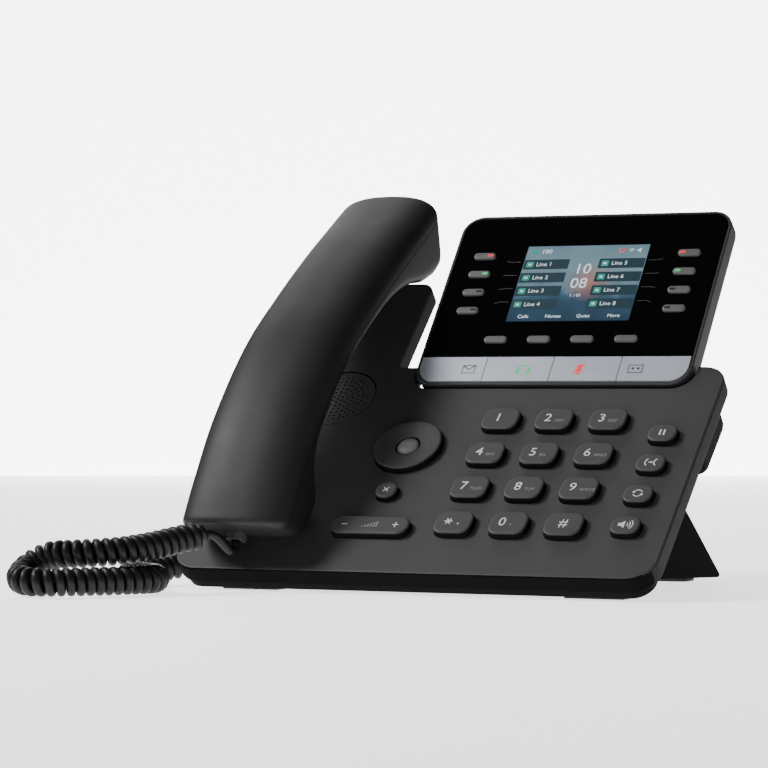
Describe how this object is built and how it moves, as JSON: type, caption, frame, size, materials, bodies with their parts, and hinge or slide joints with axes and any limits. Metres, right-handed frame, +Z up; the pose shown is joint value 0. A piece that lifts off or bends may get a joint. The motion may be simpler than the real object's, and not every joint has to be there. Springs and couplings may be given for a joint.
{
  "type": "desk telephone",
  "caption": "Desk IP phone with a handset on a curly cord, a tilting colour display, a dial pad, navigation ring and function keys, on a wedge foot stand.",
  "frame": {"origin": "on the desk, under the middle of the telephone's box, its cord left out", "axes": "+Z up, the telephone faces -Y, +X to its right as seen from the front"},
  "size_m": [0.2554, 0.2394, 0.1732],
  "materials": {
    "charcoal": "fine moulded grain, charcoal",
    "dark_plastic": "matte, nearly black",
    "black_plastic": "matte black",
    "satin_black": "satin, dark charcoal",
    "gloss_black": "polished black",
    "display_grey": "satin grey",
    "key_grey": "satin mid grey",
    "silver": "metallic silver-blue paint, satin",
    "screen": "lit colour screen",
    "rubber": "matte black rubber",
    "cord": "matte black jacket",
    "steel": "bare steel",
    "board": "green solder mask",
    "clear_plastic": "clear moulded plastic",
    "legend_white": "printed white ink"
  },
  "bodies": {
    "base": {"top_cover": "charcoal", "bottom_cover": "dark_plastic", "speaker_grille": "dark_plastic", "speaker_driver": "steel", "main_board": "board", "jack_block": "black_plastic", "foot_stand": "black_plastic", "front_foot_left": "rubber", "front_foot_right": "rubber", "stand_pad": "rubber", "hinge_shaft": "steel", "plug_base": "clear_plastic", "cord_lead_base": "cord", "cord_coil": "cord"},
    "display": {"display_rear_cover": "display_grey", "display_fascia": "gloss_black", "lcd_module": "screen"},
    "handset": {"handset_back_shell": "satin_black", "handset_face_shell": "satin_black", "earpiece_driver": "steel", "microphone": "steel", "plug_handset": "clear_plastic", "cord_lead_handset": "cord"},
    "hook_switch": {"hook_switch": "black_plastic"},
    "key_1": {"key_1": "charcoal"},
    "key_2": {"key_2": "charcoal"},
    "key_3": {"key_3": "charcoal"},
    "key_4": {"key_4": "charcoal"},
    "key_5": {"key_5": "charcoal"},
    "key_6": {"key_6": "charcoal"},
    "key_7": {"key_7": "charcoal"},
    "key_8": {"key_8": "charcoal"},
    "key_9": {"key_9": "charcoal"},
    "key_star": {"key_star": "charcoal"},
    "key_0": {"key_0": "charcoal"},
    "key_hash": {"key_hash": "charcoal"},
    "key_hold": {"key_hold": "charcoal"},
    "key_transfer": {"key_transfer": "charcoal"},
    "key_redial": {"key_redial": "charcoal"},
    "key_speaker": {"key_speaker": "charcoal"},
    "ok_key": {"ok_key": "key_grey"},
    "cancel_key": {"cancel_key": "charcoal"},
    "line_key_l1": {"line_key_l1": "key_grey"},
    "line_key_l2": {"line_key_l2": "key_grey"},
    "line_key_l3": {"line_key_l3": "key_grey"},
    "line_key_l4": {"line_key_l4": "key_grey"},
    "line_key_r1": {"line_key_r1": "key_grey"},
    "line_key_r2": {"line_key_r2": "key_grey"},
    "line_key_r3": {"line_key_r3": "key_grey"},
    "line_key_r4": {"line_key_r4": "key_grey"},
    "soft_key_1": {"soft_key_1": "key_grey"},
    "soft_key_2": {"soft_key_2": "key_grey"},
    "soft_key_3": {"soft_key_3": "key_grey"},
    "soft_key_4": {"soft_key_4": "key_grey"},
    "key_message": {"key_message": "silver"},
    "key_headset": {"key_headset": "silver"},
    "key_mute": {"key_mute": "silver"},
    "key_page": {"key_page": "silver"},
    "nav_ring": {"nav_ring": "charcoal"},
    "volume_rocker": {"volume_rocker": "charcoal"}
  },
  "joints": [
    {"name": "handset_lift", "type": "slide", "parent": "base", "child": "handset", "axis": [0, -0.6521, 0.7581], "range_m": [0, 0.08], "deforming": ["cord_coil"]},
    {"name": "hook_switch_rise", "type": "slide", "parent": "base", "child": "hook_switch", "axis": [0, -0.6521, 0.7581], "range_m": [0, 0.003]},
    {"name": "display_tilt", "type": "hinge", "parent": "base", "child": "display", "pos_m": [0.02766, 0.02407, 0.08849], "axis": [1, 0, 0], "range_deg": [-10.9, 35]},
    {"name": "key_1_press", "type": "slide", "parent": "base", "child": "key_1", "axis": [0, 0.6521, -0.7581], "range_m": [0, 0.0012], "stiffness_N_per_m": 500},
    {"name": "key_2_press", "type": "slide", "parent": "base", "child": "key_2", "axis": [0, 0.6521, -0.7581], "range_m": [0, 0.0012], "stiffness_N_per_m": 500},
    {"name": "key_3_press", "type": "slide", "parent": "base", "child": "key_3", "axis": [0, 0.6521, -0.7581], "range_m": [0, 0.0012], "stiffness_N_per_m": 500},
    {"name": "key_4_press", "type": "slide", "parent": "base", "child": "key_4", "axis": [0, 0.6521, -0.7581], "range_m": [0, 0.0012], "stiffness_N_per_m": 500},
    {"name": "key_5_press", "type": "slide", "parent": "base", "child": "key_5", "axis": [0, 0.6521, -0.7581], "range_m": [0, 0.0012], "stiffness_N_per_m": 500},
    {"name": "key_6_press", "type": "slide", "parent": "base", "child": "key_6", "axis": [0, 0.6521, -0.7581], "range_m": [0, 0.0012], "stiffness_N_per_m": 500},
    {"name": "key_7_press", "type": "slide", "parent": "base", "child": "key_7", "axis": [0, 0.6521, -0.7581], "range_m": [0, 0.0012], "stiffness_N_per_m": 500},
    {"name": "key_8_press", "type": "slide", "parent": "base", "child": "key_8", "axis": [0, 0.6521, -0.7581], "range_m": [0, 0.0012], "stiffness_N_per_m": 500},
    {"name": "key_9_press", "type": "slide", "parent": "base", "child": "key_9", "axis": [0, 0.6521, -0.7581], "range_m": [0, 0.0012], "stiffness_N_per_m": 500},
    {"name": "key_star_press", "type": "slide", "parent": "base", "child": "key_star", "axis": [0, 0.6521, -0.7581], "range_m": [0, 0.0012], "stiffness_N_per_m": 500},
    {"name": "key_0_press", "type": "slide", "parent": "base", "child": "key_0", "axis": [0, 0.6521, -0.7581], "range_m": [0, 0.0012], "stiffness_N_per_m": 500},
    {"name": "key_hash_press", "type": "slide", "parent": "base", "child": "key_hash", "axis": [0, 0.6521, -0.7581], "range_m": [0, 0.0012], "stiffness_N_per_m": 500},
    {"name": "key_hold_press", "type": "slide", "parent": "base", "child": "key_hold", "axis": [0, 0.6521, -0.7581], "range_m": [0, 0.0012], "stiffness_N_per_m": 500},
    {"name": "key_transfer_press", "type": "slide", "parent": "base", "child": "key_transfer", "axis": [0, 0.6521, -0.7581], "range_m": [0, 0.0012], "stiffness_N_per_m": 500},
    {"name": "key_redial_press", "type": "slide", "parent": "base", "child": "key_redial", "axis": [0, 0.6521, -0.7581], "range_m": [0, 0.0012], "stiffness_N_per_m": 500},
    {"name": "key_speaker_press", "type": "slide", "parent": "base", "child": "key_speaker", "axis": [0, 0.6521, -0.7581], "range_m": [0, 0.0012], "stiffness_N_per_m": 500},
    {"name": "ok_key_press", "type": "slide", "parent": "base", "child": "ok_key", "axis": [0, 0.6521, -0.7581], "range_m": [0, 0.0008], "stiffness_N_per_m": 700},
    {"name": "cancel_key_press", "type": "slide", "parent": "base", "child": "cancel_key", "axis": [0, 0.6521, -0.7581], "range_m": [0, 0.0012], "stiffness_N_per_m": 500},
    {"name": "line_key_l1_press", "type": "slide", "parent": "display", "child": "line_key_l1", "axis": [0, 0.7837, -0.6211], "range_m": [0, 0.0007], "stiffness_N_per_m": 700},
    {"name": "line_key_l2_press", "type": "slide", "parent": "display", "child": "line_key_l2", "axis": [0, 0.7837, -0.6211], "range_m": [0, 0.0007], "stiffness_N_per_m": 700},
    {"name": "line_key_l3_press", "type": "slide", "parent": "display", "child": "line_key_l3", "axis": [0, 0.7837, -0.6211], "range_m": [0, 0.0007], "stiffness_N_per_m": 700},
    {"name": "line_key_l4_press", "type": "slide", "parent": "display", "child": "line_key_l4", "axis": [0, 0.7837, -0.6211], "range_m": [0, 0.0007], "stiffness_N_per_m": 700},
    {"name": "line_key_r1_press", "type": "slide", "parent": "display", "child": "line_key_r1", "axis": [0, 0.7837, -0.6211], "range_m": [0, 0.0007], "stiffness_N_per_m": 700},
    {"name": "line_key_r2_press", "type": "slide", "parent": "display", "child": "line_key_r2", "axis": [0, 0.7837, -0.6211], "range_m": [0, 0.0007], "stiffness_N_per_m": 700},
    {"name": "line_key_r3_press", "type": "slide", "parent": "display", "child": "line_key_r3", "axis": [0, 0.7837, -0.6211], "range_m": [0, 0.0007], "stiffness_N_per_m": 700},
    {"name": "line_key_r4_press", "type": "slide", "parent": "display", "child": "line_key_r4", "axis": [0, 0.7837, -0.6211], "range_m": [0, 0.0007], "stiffness_N_per_m": 700},
    {"name": "soft_key_1_press", "type": "slide", "parent": "display", "child": "soft_key_1", "axis": [0, 0.7837, -0.6211], "range_m": [0, 0.0007], "stiffness_N_per_m": 700},
    {"name": "soft_key_2_press", "type": "slide", "parent": "display", "child": "soft_key_2", "axis": [0, 0.7837, -0.6211], "range_m": [0, 0.0007], "stiffness_N_per_m": 700},
    {"name": "soft_key_3_press", "type": "slide", "parent": "display", "child": "soft_key_3", "axis": [0, 0.7837, -0.6211], "range_m": [0, 0.0007], "stiffness_N_per_m": 700},
    {"name": "soft_key_4_press", "type": "slide", "parent": "display", "child": "soft_key_4", "axis": [0, 0.7837, -0.6211], "range_m": [0, 0.0007], "stiffness_N_per_m": 700},
    {"name": "key_message_press", "type": "slide", "parent": "display", "child": "key_message", "axis": [0, 0.7837, -0.6211], "range_m": [0, 0.0005], "stiffness_N_per_m": 900},
    {"name": "key_headset_press", "type": "slide", "parent": "display", "child": "key_headset", "axis": [0, 0.7837, -0.6211], "range_m": [0, 0.0005], "stiffness_N_per_m": 900},
    {"name": "key_mute_press", "type": "slide", "parent": "display", "child": "key_mute", "axis": [0, 0.7837, -0.6211], "range_m": [0, 0.0005], "stiffness_N_per_m": 900},
    {"name": "key_page_press", "type": "slide", "parent": "display", "child": "key_page", "axis": [0, 0.7837, -0.6211], "range_m": [0, 0.0005], "stiffness_N_per_m": 900},
    {"name": "nav_ring_tilt", "type": "hinge", "parent": "base", "child": "nav_ring", "pos_m": [-0.02314, -0.01375, 0.05592], "axis": [1, 0, 0], "range_deg": [-2, 2], "stiffness_Nm_per_rad": 2},
    {"name": "volume_rocker_tilt", "type": "hinge", "parent": "base", "child": "volume_rocker", "pos_m": [-0.02264, -0.05196, 0.02305], "axis": [0, 0.7581, 0.6521], "range_deg": [-2.5, 2.5], "stiffness_Nm_per_rad": 2}
  ],
  "couplings": [
    {"joint": "hook_switch_rise", "follows": "handset_lift", "ratio": 0.0375}
  ]
}
